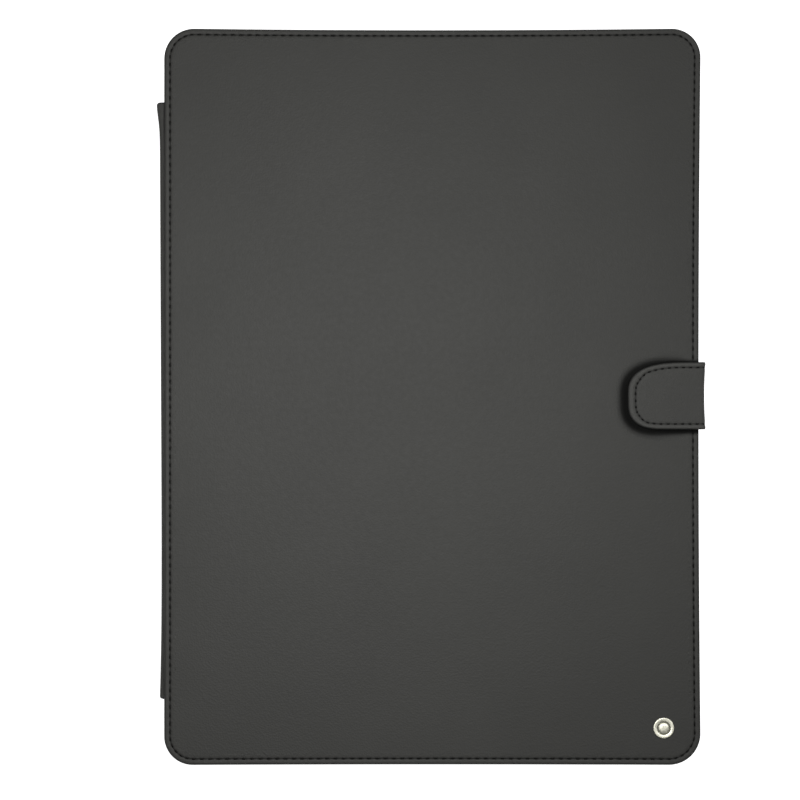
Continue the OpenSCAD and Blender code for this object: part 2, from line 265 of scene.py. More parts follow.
def needle_pits(count, inset, seam):
    """How far a sewn edge is pressed in at each of its points, at one distance from the edge."""
    phase = (np.arange(count) % STATIONS) / STATIONS
    under_thread = smooth(0.1, 0.6, 0.5 - 0.5 * np.cos(2 * math.pi * phase))
    off = inset - seam.inset
    pit = seam.pit * under_thread * math.exp(-((off / PIT_WIDTH) ** 2))
    pucker = 0.18 * seam.pit * (under_thread - 0.5) * math.exp(-(((abs(off) - 0.9) / 0.35) ** 2))
    return pit - pucker


INNER = 100.0            # stands for "far from every edge"
EDGE_WIDTH = 0.48        # the dyed edge, darkened further with painted shade
RIM_MIDDLE = 1.0         # the band beside it, painted lighter as a highlight of the rounded edge
RIM_WIDTH = 0.55


class Sheet:
    """A closed flat piece: rings along its edges, from the back round to the front, and filled faces."""

    def __init__(self, outline, rings, grid, thickness, seam=None, holes=(), hole_rings=(), relief=None,
                 spread=None, more_cells=None):
        self.points, self.depths, self.insets, self.grooves, self.faces = [], [], [], [], []
        self.thickness = thickness if callable(thickness) else lambda uv: np.full(len(uv), thickness)
        self.relief = relief or (lambda uv: np.zeros(len(uv)))
        self.spread = spread or (lambda uv: np.ones(len(uv)))
        self.size = 0
        edges = [self.ring_edge(outline, rings, -1, seam)]
        edges += [self.ring_edge(hole, hole_rings, 1, None) for hole in holes]
        cells = np.array([(u, v) for u in grid[0] for v in grid[1]], float)
        if more_cells is not None:
            cells = np.vstack([cells, more_cells])
        margin = 0.6 * min(np.diff(grid[0]).min(), np.diff(grid[1]).min(), 4)
        self.fill([first for first, last in edges], cells, margin, rings[0], False)
        self.fill([last for first, last in edges], cells, margin, rings[-1], True)

    def add(self, points, depths, inset, groove):
        start = self.size
        self.points.append(points)
        self.depths.append(depths)
        self.insets.append(np.full(len(points), inset))
        self.grooves.append(np.full(len(points), groove))
        self.size += len(points)
        return np.arange(start, self.size)

    def depth_at(self, points, share, offset):
        return share * self.thickness(points) + offset

    def ring_edge(self, loop, rings, side, seam):
        """Adds an edge's rings and the faces between them. Returns its first and last ring."""
        normals, made = outward(loop) * self.spread(loop)[:, None], []
        for inset, share, offset in rings:
            points = loop + side * normals * inset
            depths = self.depth_at(points, share, offset)
            front = share == 0
            groove = 0.0
            if seam and front and inset > 1:
                depths = depths + needle_pits(len(loop), inset, seam)
                # How much painted shade the seam's channel gets at this ring
                groove = math.exp(-(((inset - seam.inset) / 0.27) ** 2))
            if front:
                depths = depths + self.relief(points) * (inset / rings[-1][0]) ** 4
            made.append(self.add(points, depths, inset if front else 0.0, groove))
        self.faces += tube_faces(made[0][0], len(made), len(loop))
        return made[0], made[-1]

    def fill(self, edges, cells, margin, ring, front):
        points = np.vstack(self.points)
        loops = [points[edge] for edge in edges]
        triangles, used = flat_fill(loops, cells, margin)
        depths = self.depth_at(used, ring[1], ring[2])
        if front:
            depths = depths + self.relief(used)
        inner = self.add(used, depths, INNER, 0.0)
        names = np.concatenate([*edges, inner])
        self.faces += names[triangles].tolist()


def make_mesh(name, points, faces, material, attributes=None, keep=None, place=None):
    """A mesh object with outward faces. keep = (u, above) leaves a flat piece's part on one side of u."""
    mesh = bpy.data.meshes.new(name)
    mesh.from_pydata(points.tolist(), [], faces)
    for key, values in (attributes or {}).items():
        mesh.attributes.new(key, "FLOAT", "POINT").data.foreach_set("value", values)
    shape = bmesh.new()
    shape.from_mesh(mesh)
    if keep:
        cut_flat(shape, *keep)
    if place:
        flat = np.array([vertex.co for vertex in shape.verts], float)
        for vertex, spot in zip(shape.verts, place(flat[:, :2], flat[:, 2])):
            vertex.co = spot
    bmesh.ops.scale(shape, vec=(MM, MM, MM), verts=shape.verts)
    bmesh.ops.recalc_face_normals(shape, faces=shape.faces)
    for face in shape.faces:
        face.smooth = True
    for edge in shape.edges:
        edge.smooth = len(edge.link_faces) != 2 or edge.calc_face_angle(0) < SHARP_ANGLE
    shape.to_mesh(mesh)
    shape.free()
    mesh.materials.append(material)
    piece = bpy.data.objects.new(name, mesh)
    bpy.context.scene.collection.objects.link(piece)
    return piece


def cut_flat(shape, u, above):
    """Cuts a flat piece across at u, closes the cut, and keeps the part above or below."""
    everything = shape.verts[:] + shape.edges[:] + shape.faces[:]
    cut = bmesh.ops.bisect_plane(
        shape, geom=everything, plane_co=(u, 0, 0), plane_no=(1, 0, 0),
        clear_inner=above, clear_outer=not above,
    )
    rim = [part for part in cut["geom_cut"] if isinstance(part, bmesh.types.BMEdge)]
    bmesh.ops.triangle_fill(shape, use_beauty=True, edges=rim)
    left_open = [edge for edge in shape.edges if len(edge.link_faces) == 1]
    bmesh.ops.holes_fill(shape, edges=left_open, sides=0)


def sheet_piece(name, sheet, place, material, keep=None, painted_shadow=None):
    """The placed mesh of a flat piece, with masks for painted shade over its dyed edge and in its seam, and for a
    painted highlight beside the edge.
    """
    flat = np.vstack(sheet.points)
    points = np.column_stack([flat, np.concatenate(sheet.depths)])
    inset = np.concatenate(sheet.insets)
    attributes = {
        # Painted shade over the dyed edge, full on the edge itself and fading over half a millimetre of the face
        "edge": np.exp(-((inset / EDGE_WIDTH) ** 2)),
        # Painted highlight where the rounded edge catches light
        "rim": np.exp(-(((inset - RIM_MIDDLE) / RIM_WIDTH) ** 2)),
        # Painted shade in the seam's channel
        "groove": np.concatenate(sheet.grooves),
    }
    # A painted shadow, for pieces that have one
    if painted_shadow:
        attributes["painted_shadow"] = painted_shadow(flat)
    return make_mesh(name, points, sheet.faces, material, attributes, keep, place)


def settle(piece, body, slot_name, *nodes):
    """Says which body a piece rides on and which CAD nodes it stands for; the finish's name is not used."""
    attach(piece, body)
    if nodes:
        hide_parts(*nodes)


# ------------ thread

def loop_stitches(outline, inset, spread=None):
    """Both ends of each stitch of a seam that runs round an outline."""
    wider = spread(outline)[:, None] if spread else 1
    line = outline - outward(outline) * inset * wider
    first = round(STATIONS * (1 - STITCH_SHARE) / 2)
    starts = line[first::STATIONS]
    ends = line[STATIONS - first::STATIONS]
    return list(zip(starts, ends))


def line_stitches(start, end, pitch):
    """Both ends of each stitch of a straight seam."""
    start, end = np.array(start, float), np.array(end, float)
    count = max(1, round(np.linalg.norm(end - start) / pitch))
    step = (end - start) / count
    gap = step * (1 - STITCH_SHARE) / 2
    return [(start + i * step + gap, start + (i + 1) * step - gap) for i in range(count)]


def sew(name, stitches, place, material, sink, keep=None, seed=1):
    """One mesh of separate stitches, each a short rounded length of thread that dives in at both ends."""
    random = np.random.default_rng(seed)
    shape = [*STITCH_HALF, (0.5, 1.0, 0.0), *((1 - t, size, deep) for t, size, deep in STITCH_HALF[::-1])]
    sides = THREAD_SIDES
    points, faces = [], []
    for start, end in stitches:
        if keep and ((start[0] + end[0]) / 2 > keep[0]) != keep[1]:
            continue
        run = end - start
        sideways = np.array([-run[1], run[0]]) / np.linalg.norm(run)
        slant = sideways * random.normal(0, 0.035)
        first = len(points)
        for t, size, deep in shape:
            middle = start + run * t + slant * (t - 0.5)
            for angle in np.linspace(0, 2 * math.pi, sides, endpoint=False):
                uv = middle + sideways * math.cos(angle) * size * THREAD_WIDTH / 2
                points.append([*uv, sink + deep - math.sin(angle) * size * THREAD_HEIGHT / 2])
        faces += tube_faces(first, len(shape), sides)
        faces.append(list(range(first, first + sides))[::-1])
        faces.append(list(range(len(points) - sides, len(points))))
    return make_mesh(name, np.array(points), faces, material, place=place)


# ------------ routes of the folding bands

class Route:
    """A line in the XZ plane, rounded at its inner corners, with the case on its left."""

    def __init__(self, start, corners, end):
        line = rounded([(*start, 1e-3), *corners, (*end, 1e-3)])[ARC_POINTS - 1:-(ARC_POINTS - 1)]
        kept = np.concatenate([[True], np.linalg.norm(np.diff(line, axis=0), axis=1) > 1e-6])
        self.line = line[kept]
        self.run = lengths(self.line)
        self.length = self.run[-1]
        self.inward = left_of(self.line)

    def at(self, u):
        """Points of the line and inward normals at distances u."""
        normals = along(u, self.run, self.inward)
        return along(u, self.run, self.line), normals / np.linalg.norm(normals, axis=1)[:, None]

    def where_z(self, z):
        """Distance run where the line's upright part passes a height."""
        fine = np.linspace(0, self.length, FINE_STEPS)
        return fine[np.abs(self.at(fine)[0][:, 1] - z).argmin()]

    def bends(self, step):
        """Grid values along the line, close together round its corners."""
        turning = np.linalg.norm(np.diff(self.inward, axis=0), axis=1) > 1e-3
        values = list(np.arange(0, self.length, step))
        for i in np.flatnonzero(turning):
            values += [self.run[i], self.run[i + 1]]
        return spaced(values, 0.09)


def bend(piece):
    """Bakes a piece's placement into its mesh."""
    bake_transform(piece)


def middle_between(route, low_fold, high_fold):
    """Distance run where a route passes half-way between two folds."""
    return route.where_z((FOLD_AXES[low_fold][2] + FOLD_AXES[high_fold][2]) / 2)


def make_halves(slot_name, build, *halves):
    """Makes the halves of a folding band from (name, fold that it crosses, side of the cut, nodes)."""
    for name, fold, above, nodes in halves:
        half = build(name, above)
        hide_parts(*nodes)
        bend(half)


# ------------ materials

class Look:
    """A material with one Principled shader, and the textures that drive it."""

    def __init__(self, name, colour, roughness, **sockets):
        self.material = bpy.data.materials.new(name)
        self.material.use_nodes = True
        self.tree = self.material.node_tree
        self.shader = self.tree.nodes["Principled BSDF"]
        self.colour = colour
        self.fill(self.shader, Base_Color=(*colour, 1), Roughness=roughness, **sockets)

    def fill(self, node, **sockets):
        """Sets plain values of sockets, whose names have an underscore for a space."""
        for key, value in sockets.items():
            node.inputs[key.replace("_", " ")].default_value = value

    def add(self, kind, linked=None, **sockets):
        """A new node, with some sockets linked to outputs and others set to plain values."""
        node = self.tree.nodes.new(f"ShaderNode{kind}")
        for socket, output in (linked or {}).items():
            self.tree.links.new(output, node.inputs[socket])
        self.fill(node, **sockets)
        return node

    def pattern(self, kind, scale, stretch=(1, 1, 1), **sockets):
        """The plain value of a noise, Voronoi or wave texture in the object's own space."""
        place = self.add("TexCoord")
        mapping = self.add("Mapping", {"Vector": place.outputs["Object"]}, Scale=stretch)
        texture = self.add(f"Tex{kind}", {"Vector": mapping.outputs["Vector"]}, Scale=scale, **sockets)
        return texture.outputs["Distance" if kind == "Voronoi" else "Fac"]

    def mark(self, name):
        """A value that the mesh holds at each point."""
        read = self.add("Attribute")
        read.attribute_name = name
        return read.outputs["Fac"]

    def between(self, source, low, high, to_low, to_high):
        """Maps a range of values to another."""
        ends = {"From_Min": low, "From_Max": high, "To_Min": to_low, "To_Max": to_high}
        return self.add("MapRange", {"Value": source}, **ends).outputs["Result"]

    def combine(self, operation, first, second):
        """Combines two values."""
        combined = self.add("Math", {0: first, 1: second})
        combined.operation = operation
        return combined.outputs["Value"]

    def mix(self, share, first, second):
        """Mixes two colours by a share. Each is an output or a factor on the material's own colour."""
        mixed = self.add("Mix")
        mixed.data_type = "RGBA"
        self.tree.links.new(share, mixed.inputs[0])
        for socket, colour in ((mixed.inputs[6], first), (mixed.inputs[7], second)):
            if isinstance(colour, (int, float)):
                socket.default_value = (*(c * colour for c in self.colour), 1)
            else:
                self.tree.links.new(colour, socket)
        return mixed.outputs[2]

    def two_tones(self, source, dark, light, reach=0.15):
        """A colour that goes from darker to lighter as a texture passes its middle values."""
        return self.mix(self.between(source, 0.5 - reach, 0.5 + reach, 0, 1), dark, light)

    def finish(self, tone, bumps, gloss=None):
        """Links the colour, a chain of bumps of (height, strength, distance) and the roughness."""
        self.tree.links.new(tone, self.shader.inputs["Base Color"])
        if gloss is not None:
            self.tree.links.new(gloss, self.shader.inputs["Roughness"])
        linked = {}
        for height, strength, distance in bumps:
            bump = self.add("Bump", {"Height": height, **linked}, Strength=strength, Distance=distance)
            linked = {"Normal": bump.outputs["Normal"]}
        self.tree.links.new(linked["Normal"], self.shader.inputs["Normal"])
        return self.material


def leather_material(name, colour, grain=1.0, roughness=(0.54, 0.64), rim_highlight=1.2):
    """Smooth dyed leather: fine grain, dyed edges with painted shade, a painted highlight along the rim, painted
    shade in the seams and a dull painted shadow round the tab.
    """
    look = Look(name, colour, roughness[0], Specular_IOR_Level=0.14)
    clouds = look.pattern("Noise", 26, Detail=5, Roughness=0.55)
    cells = look.pattern("Voronoi", 1150, Randomness=0.95)
    creases = look.pattern("Noise", 420, Detail=6, Roughness=0.62)
    fine = look.pattern("Noise", 3800, Detail=2)
    tone = look.two_tones(clouds, 0.965, 1.035, reach=0.18)
    # Painted highlight where the rounded rim catches light, broken up by the creases
    highlit_rim = look.combine("MULTIPLY", look.mark("rim"), look.between(creases, 0.3, 0.7, 0.7, 1))
    tone = look.mix(highlit_rim, tone, rim_highlight)
    # Painted shade over the dyed edge and in the seams, and the painted shadow round the tab, each mixed toward a
    # darker tone
    for mark, strength, darkest in (("edge", 0.95, 0.2), ("groove", 0.9, 0.22), ("painted_shadow", 1.0, 0.12)):
        tone = look.mix(look.between(look.mark(mark), 0, 1, 0, strength), tone, darkest)
    # Where the painted shadow lies, the leather is also made fully rough
    gloss = look.combine("MAXIMUM", look.between(creases, 0.3, 0.7, *roughness), look.mark("painted_shadow"))
    bumps = [(cells, 0.45 * grain, 0.0002), (creases, 0.5 * grain, 0.00016), (fine, 0.12 * grain, 0.00003)]
    return look.finish(tone, bumps, gloss)


def microfibre_material(name, colour):
    """Brushed suede-like microfibre: a short soft nap with lighter and darker strokes."""
    look = Look(name, colour, 0.95, Specular_IOR_Level=0.15, Sheen_Weight=0.5, Sheen_Roughness=0.45)
    strokes = look.pattern("Noise", 38, (1, 0.45, 1), Detail=6, Roughness=0.62)
    nap = look.pattern("Noise", 2600, (1, 0.5, 1), Detail=3)
    tone = look.two_tones(strokes, 0.86, 1.16)
    speckled = look.mix(look.between(nap, 0.4, 0.62, 0, 0.45), tone, 0.6)
    return look.finish(speckled, [(nap, 0.45, 0.00012), (strokes, 0.15, 0.0003)])


def thread_material(name, colour):
    """Waxed twisted polyester thread."""
    look = Look(name, colour, 0.8, Specular_IOR_Level=0.08)
    twist = look.pattern("Wave", 900, (1, 0.85, 0.6), Distortion=0.6)
    fibres = look.pattern("Noise", 4200, Detail=2)
    tone = look.two_tones(twist, 0.7, 1.4, reach=0.3)
    gloss = look.between(fibres, 0.3, 0.7, 0.72, 0.9)
    return look.finish(tone, [(twist, 0.5, 0.0001), (fibres, 0.3, 0.00004)], gloss)


def plastic_material(name, colour):
    """Moulded plastic with a spark-eroded texture."""
    look = Look(name, colour, 0.5, Specular_IOR_Level=0.45)
    pits = look.pattern("Noise", 2300, Detail=3, Roughness=0.6)
    flow = look.pattern("Noise", 15, (1, 0.3, 1), Detail=3)
    gloss = look.between(pits, 0.3, 0.7, 0.42, 0.58)
    return look.finish(look.two_tones(flow, 0.94, 1.08), [(pits, 0.3, 0.00006)], gloss)


def board_material(name, colour):
    """Grey-brown bonded fibreboard."""
    look = Look(name, colour, 0.9, Specular_IOR_Level=0.2)
    fibres = look.pattern("Noise", 900, (1, 0.2, 1), Detail=6, Roughness=0.7)
    specks = look.pattern("Voronoi", 500, Randomness=1.0)
    return look.finish(look.two_tones(fibres, 0.7, 1.2), [(fibres, 0.4, 0.0001), (specks, 0.15, 0.00005)])


def metal_material(name, colour, roughness, scratches):
    """Turned or ground metal with fine marks, and painted shade where its mesh says that there is a groove."""
    look = Look(name, colour, roughness, Metallic=1.0)
    marks = look.pattern("Noise", 900, scratches, Detail=5, Roughness=0.7)
    haze = look.pattern("Noise", 260, Detail=4)
    # Painted shade in the groove
    tone = look.mix(look.mark("groove"), look.two_tones(haze, 0.93, 1.04), 0.03)
    gloss = look.between(marks, 0.3, 0.7, roughness * 0.8, roughness * 1.3)
    return look.finish(tone, [(marks, 0.12, 0.00002)], gloss)


# Each leather's last factor sets the painted highlight along its rims
LEATHER = leather_material("leather_smooth_black", (0.032, 0.032, 0.0298), rim_highlight=1.12)
STRIP_LEATHER = leather_material("leather_folding_parts", (0.033, 0.033, 0.0308), grain=1.25, rim_highlight=1.4)
POCKET_LEATHER = leather_material("leather_pockets", (0.027, 0.027, 0.025), 1.4, roughness=(0.58, 0.68))
MICROFIBRE = microfibre_material("microfibre_grey", (0.050, 0.050, 0.047))
THREAD = thread_material("thread_black", (0.0045, 0.0045, 0.0042))
SHELL = plastic_material("shell_black_plastic", (0.021, 0.021, 0.020))
BOARD = board_material("board_grey_fibre", (0.14, 0.12, 0.10))
STUD_METAL = metal_material("stud_pale_champagne", (0.78, 0.77, 0.65), 0.46, (1, 1, 1))
STEEL = metal_material("steel_ground", (0.45, 0.45, 0.44), 0.35, (1, 0.06, 1))
MAGNET = metal_material("magnet_nickel", (0.62, 0.60, 0.56), 0.22, (0.1, 1, 1))


# ------------ front cover

COVER_BOW = {"right": 0.95, "top": 0.8, "bottom": 0.3}
COVER_CORNERS = (12.2, 13.6, 12.5, 12.9)     # turned by hand, so none is quite like another
DENT_DEPTH = 0.6
DENT_WIDTH = 3.6
# The painted shadow round the tab, shifted down and to the left, fading outwards
SHADOW_SHIFT = (-0.9, -0.6)
SHADOW_FULL = 0.9
SHADOW_END = 4.5
SHADOW_ROOT_SHARE = 0.55   # how wide the painted shadow is beside the fold, of its width round the tip
SHADOW_UNDER_TAB = 0.22    # how much of the painted shadow there is where the tab lies on it

# Edge profiles as (distance in from the edge, share of the thickness, depth beyond that share)
SEWN_FACE = [
    (0.0, 0, 1.25), (0.05, 0, 0.84), (0.16, 0, 0.54), (0.34, 0, 0.31), (0.6, 0, 0.14), (0.95, 0, 0.04),
    (1.35, 0, 0.01), (1.75, 0, 0.03), (2.0, 0, 0.09), (2.2, 0, 0.17), (2.36, 0, 0.25), (2.5, 0, 0.29),
    (2.64, 0, 0.25), (2.8, 0, 0.17), (3.0, 0, 0.09), (3.35, 0, 0.03), (4.1, 0, 0.0), (5.0, 0, 0.0),
    (7.0, 0, 0.0),
]
# The leather turns under the board with a thin lip, which the lining covers
COVER_RINGS = [
    (1.2, 0, 1.2), (1.2, 0.6, 0), (1.2, 1, 0.01), (1.75, 1, 0.01), (1.75, 1, 0.05), (0.6, 1, 0.07),
    (0.2, 1, 0.06), (0.06, 1, 0.0), (0.0, 1, -0.2), (0.0, 0.6, 0), *SEWN_FACE,
]


def bowed(u, v):
    """The cover's outline after sewing and turning, drawn in a little along its long edges."""
    across, up = u / COVER_HIGH[0], v / COVER_HIGH[1]
    pull_x = COVER_BOW["right"] * np.clip(across, 0, None) ** 4 * (1 - np.clip(up, -1, 1) ** 2)
    pull_top = COVER_BOW["top"] * np.clip(up, 0, None) ** 4 * (1 - np.clip(across, -1, 1) ** 2)
    pull_bottom = COVER_BOW["bottom"] * np.clip(-up, 0, None) ** 4 * (1 - np.clip(across, -1, 1) ** 2)
    return u - pull_x, v - pull_top + pull_bottom


def cover_outline(inset):
    """The cover's outline, or a line at an even distance inside it."""
    (x0, y0), (x1, y1) = COVER_LOW[:2] + inset, COVER_HIGH[:2] - inset
    corners = [(x0, y0), (x1, y0), (x1, y1), (x0, y1)]
    return rounded([(x, y, radius - inset) for (x, y), radius in zip(corners, COVER_CORNERS)])


def on_cover(uv, depth):
    x, y = bowed(uv[:, 0], uv[:, 1])
    return np.column_stack([x, y, COVER_HIGH[2] - depth])


def cover_swell(uv):
    """Gentle unevenness of the face, none near its edges, and the dent that the tab presses in it."""
    u, v = uv[:, 0], uv[:, 1]
    inner = smooth(7, 45, COVER_HIGH[0] - np.abs(u)) * smooth(7, 45, COVER_HIGH[1] - np.abs(v))
    waves = np.sin(u / 47 + 0.6) * np.cos(v / 61 - 0.4) + 0.5 * np.sin(u / 23 - v / 37)
    return DENT_DEPTH * (1 - smooth(0, DENT_WIDTH, beyond_tab(uv))) - 0.07 * inner * (waves + 0.6)


def tab_on_cover():
    """The tab's outline where it lies on the closed cover."""
    route = strap_route()
    line = even(strap_outline(route.length, 0, 0), 0.6)
    return np.column_stack([TAB_TIP + route.length - line[:, 0], line[:, 1]])


def beyond_tab(uv):
    """Distance of points from the closed tab's outline, negative under the tab."""
    line = tab_on_cover()
    apart = np.empty(len(uv))
    for first in range(0, len(uv), 2000):
        some = uv[first:first + 2000]
        reach = np.hypot(some[:, :1] - line[:, 0], some[:, 1:] - line[:, 1]).min(axis=1)
        apart[first:first + 2000] = np.where(inside(some, line[::-1]), -reach, reach)
    return apart


def painted_tab_shadow(uv):
    """How strongly the leather is darkened round the tab: a painted shadow of the tab."""
    to_tip = smooth(0, 24, COVER_HIGH[0] - uv[:, 0])
    width = SHADOW_ROOT_SHARE + (1 - SHADOW_ROOT_SHARE) * to_tip
    outside = 1 - smooth(SHADOW_FULL, SHADOW_END, beyond_tab(uv - np.array(SHADOW_SHIFT)) / width)
    return outside * (SHADOW_UNDER_TAB + (1 - SHADOW_UNDER_TAB) * smooth(-4.0, -0.3, beyond_tab(uv)))


def cells_round_tab():
    """Grid points for the dent: rows that follow the tab's outline."""
    line = even(tab_on_cover()[::-1], 1.3)
    rows = (-5.2, -3.8, -2.6, -1.6, -0.9, -0.3, 0.3, 0.8, 1.3, 1.9, 2.6, 3.5, 4.8, 6.4)
    return np.vstack([line + outward(line) * apart for apart in rows])


def grid_over(low, high, step):
    """Grid values over a rectangle."""
    return [np.arange(low[k] + step / 2, high[k], step) for k in (0, 1)]


def make_cover():
    outline = even(cover_outline(0), COVER_PITCH / STATIONS, STATIONS)
    sheet = Sheet(
        outline, COVER_RINGS, grid_over(COVER_LOW, COVER_HIGH, 7), COVER_HIGH[2] - COVER_LOW[2],
        seam=Seam(COVER_SEAM_INSET, PIT_DEPTH), relief=cover_swell, more_cells=cells_round_tab(),
    )
    # The cover's leather carries a painted shadow round the tab
    leather = sheet_piece("cover_leather_skin", sheet, on_cover, LEATHER, painted_shadow=painted_tab_shadow)
    settle(leather, "front_cover", "leather", "cover_leather", "spine_front_flange")
    thread = sew("cover_stitches", loop_stitches(outline, COVER_SEAM_INSET), on_cover, THREAD, sink=0.36)
    settle(thread, "front_cover", "thread", "cover_thread")


# ------------ inside of the cover

THIN_RINGS = [(0.35, 1, 0), (0.0, 0.5, 0), (0.05, 0, 0.16), (0.18, 0, 0.04), (0.45, 0, 0.0), (1.2, 0, 0.0)]
SEWN_THIN = [
    (0.6, 1, 0), (0.12, 1, -0.05), (0.0, 0.55, 0), (0.06, 0, 0.14), (0.22, 0, 0.04), (0.6, 0, 0.0),
    (1.4, 0, 0.0), (1.9, 0, 0.03), (2.2, 0, 0.08), (2.5, 0, 0.11), (2.8, 0, 0.08), (3.1, 0, 0.03),
    (3.8, 0, 0.0), (5.5, 0, 0.0),
]


def facing_down(level):
    """Places a flat piece with its visible face down, at a level."""
    def place(uv, depth):
        return np.column_stack([uv[:, 0], uv[:, 1], level + depth])

    return place


def make_cover_lining():
    low, high = box("cover_lining")
    outline = even(cover_outline(COVER_HIGH[0] - high[0]), COVER_PITCH / STATIONS, STATIONS)
    seam = Seam(COVER_SEAM_INSET, LINING_PIT_DEPTH)
    sheet = Sheet(outline, SEWN_THIN, grid_over(low, high, 9), high[2] - low[2], seam=seam)

    def place(uv, depth):
        return np.column_stack([*bowed(uv[:, 0], uv[:, 1]), low[2] + depth])

    lining = sheet_piece("cover_lining_cloth", sheet, place, MICROFIBRE)
    settle(lining, "front_cover", "microfibre", "cover_lining")
    stitches = loop_stitches(outline, COVER_SEAM_INSET)
    thread = sew("cover_lining_stitches", stitches, place, THREAD, sink=0.1, seed=2)
    settle(thread, "front_cover", "thread")


def pocket(name, node, seams):
    """A leather pocket panel with a rolled mouth along its top and straight rows of stitches."""
    low, high = box(node)
    outline = even(rounded_box(low, high, 1.6), 1.2)

    def relief(uv):
        line = sum(np.exp(-((distance_to(uv, *seam) / 0.4) ** 2)) for seam in seams)
        mouth = np.exp(-(((uv[:, 1] - high[1] + 1.8) / 0.9) ** 2))
        crown = smooth(0, 22, high[0] - uv[:, 0]) * smooth(0, 22, uv[:, 0] - low[0])
        return 0.13 * line - 0.16 * mouth - 0.12 * crown

    u, v = grid_over(low, high, 6)
    steps = np.array([-1.4, -0.7, -0.35, 0, 0.35, 0.7, 1.4])
    for (x0, y0), (x1, _) in seams:
        if x0 == x1:
            u = np.append(u, x0 + steps)
        else:
            v = np.append(v, y0 + steps)
    v = np.append(v, high[1] - np.array([1.1, 1.5, 1.9, 2.4, 3.2, 4.2]))
    sheet = Sheet(outline, THIN_RINGS, (spaced(u, 0.15), spaced(v, 0.15)), high[2] - low[2], relief=relief)
    place = facing_down(low[2])
    panel = sheet_piece(name, sheet, place, POCKET_LEATHER)
    settle(panel, "front_cover", "lining_leather", node)
    return place


def distance_to(uv, start, end):
    """Distance of points from a straight line between two points."""
    start, end = np.array(start, float), np.array(end, float)
    run = end - start
    share = np.clip(((uv - start) @ run) / (run @ run), 0, 1)
    return np.linalg.norm(uv - start - share[:, None] * run, axis=1)


def make_pockets():
    stitches, place = [], None
    card_low, card_high = box("card_pocket_lower")[0], box("card_pocket_upper")[1]
    plans = [
        ("document_pocket_panel", "document_pocket", *box("document_pocket"), True),
        ("card_pocket_lower_panel", "card_pocket_lower", card_low, card_high, True),
        ("card_pocket_upper_panel", "card_pocket_upper", card_low, card_high, False),
    ]
    for name, node, low, high, sewn in plans:
        left, right = low[0] + POCKET_SEAM_INSET, high[0] - POCKET_SEAM_INSET
        bottom, top = low[1] + POCKET_SEAM_INSET, high[1] - POCKET_SEAM_INSET
        seams = [
            ((left, bottom), (left, top)),
            ((left, bottom), (right, bottom)),
            ((right, bottom), (right, top)),
        ]
        place = pocket(name, node, seams)
        if sewn:
            for start, end in seams:
                stitches += line_stitches(start, end, SMALL_PITCH)
    thread = sew("pocket_stitches", stitches, place, THREAD, sink=0.02, seed=3)
    settle(thread, "front_cover", "thread", "pocket_thread")


# ------------ back and sides

PLAIN_RINGS = [
    (0.5, 1, 0), (0.0, 1, -0.1), (0.0, 0, 0.45), (0.06, 0, 0.24), (0.2, 0, 0.09), (0.45, 0, 0.02),
    (0.8, 0, 0.0),
]
HOLE_RINGS = [
    (0.3, 1, 0), (0.0, 1, -0.1), (0.0, 0, 0.5), (0.08, 0, 0.26), (0.26, 0, 0.1), (0.6, 0, 0.0),
    (1.0, 0, 0.0),
]


def circle(centre, radius):
    """Closed round outline."""
    angles = np.linspace(0, 2 * math.pi, 96, endpoint=False)
    return np.column_stack([centre[0] + radius * np.cos(angles), centre[1] + radius * np.sin(angles)])


def camera_centre():
    low, high = opening("camera_window")
    return (low[:2] + high[:2]) / 2


def make_back():
    low, high = box("back_leather")
    (x0, y0), (x1, y1) = low[:2], high[:2]
    gap = 0.15
    inlay, strap = FLANGE_HIGH[0] + gap, ANCHOR_LOW[0] - gap
    outline = even(rounded([
        (x0, y0, BACK_CORNER), (x1, y0, BACK_CORNER),
        (x1, ANCHOR_LOW[1] - gap, 0.8), (strap, ANCHOR_LOW[1] - gap, 5), (strap, ANCHOR_HIGH[1] + gap, 5),
        (x1, ANCHOR_HIGH[1] + gap, 0.8),
        (x1, y1, BACK_CORNER), (x0, y1, BACK_CORNER),
        (x0, FLANGE_HIGH[1] + gap, 0.8), (inlay, FLANGE_HIGH[1] + gap, 1.2),
        (inlay, FLANGE_LOW[1] - gap, 1.2), (x0, FLANGE_LOW[1] - gap, 0.8),
    ]), 0.7)
    hole = circle(camera_centre(), CAMERA_RADIUS)
    sheet = Sheet(outline, PLAIN_RINGS, grid_over(low, high, 7), high[2] - low[2],
                  holes=[hole], hole_rings=HOLE_RINGS)
    leather = sheet_piece("back_leather_skin", sheet, facing_down(low[2]), LEATHER)
    settle(leather, "back_shell", "leather", "back_leather")


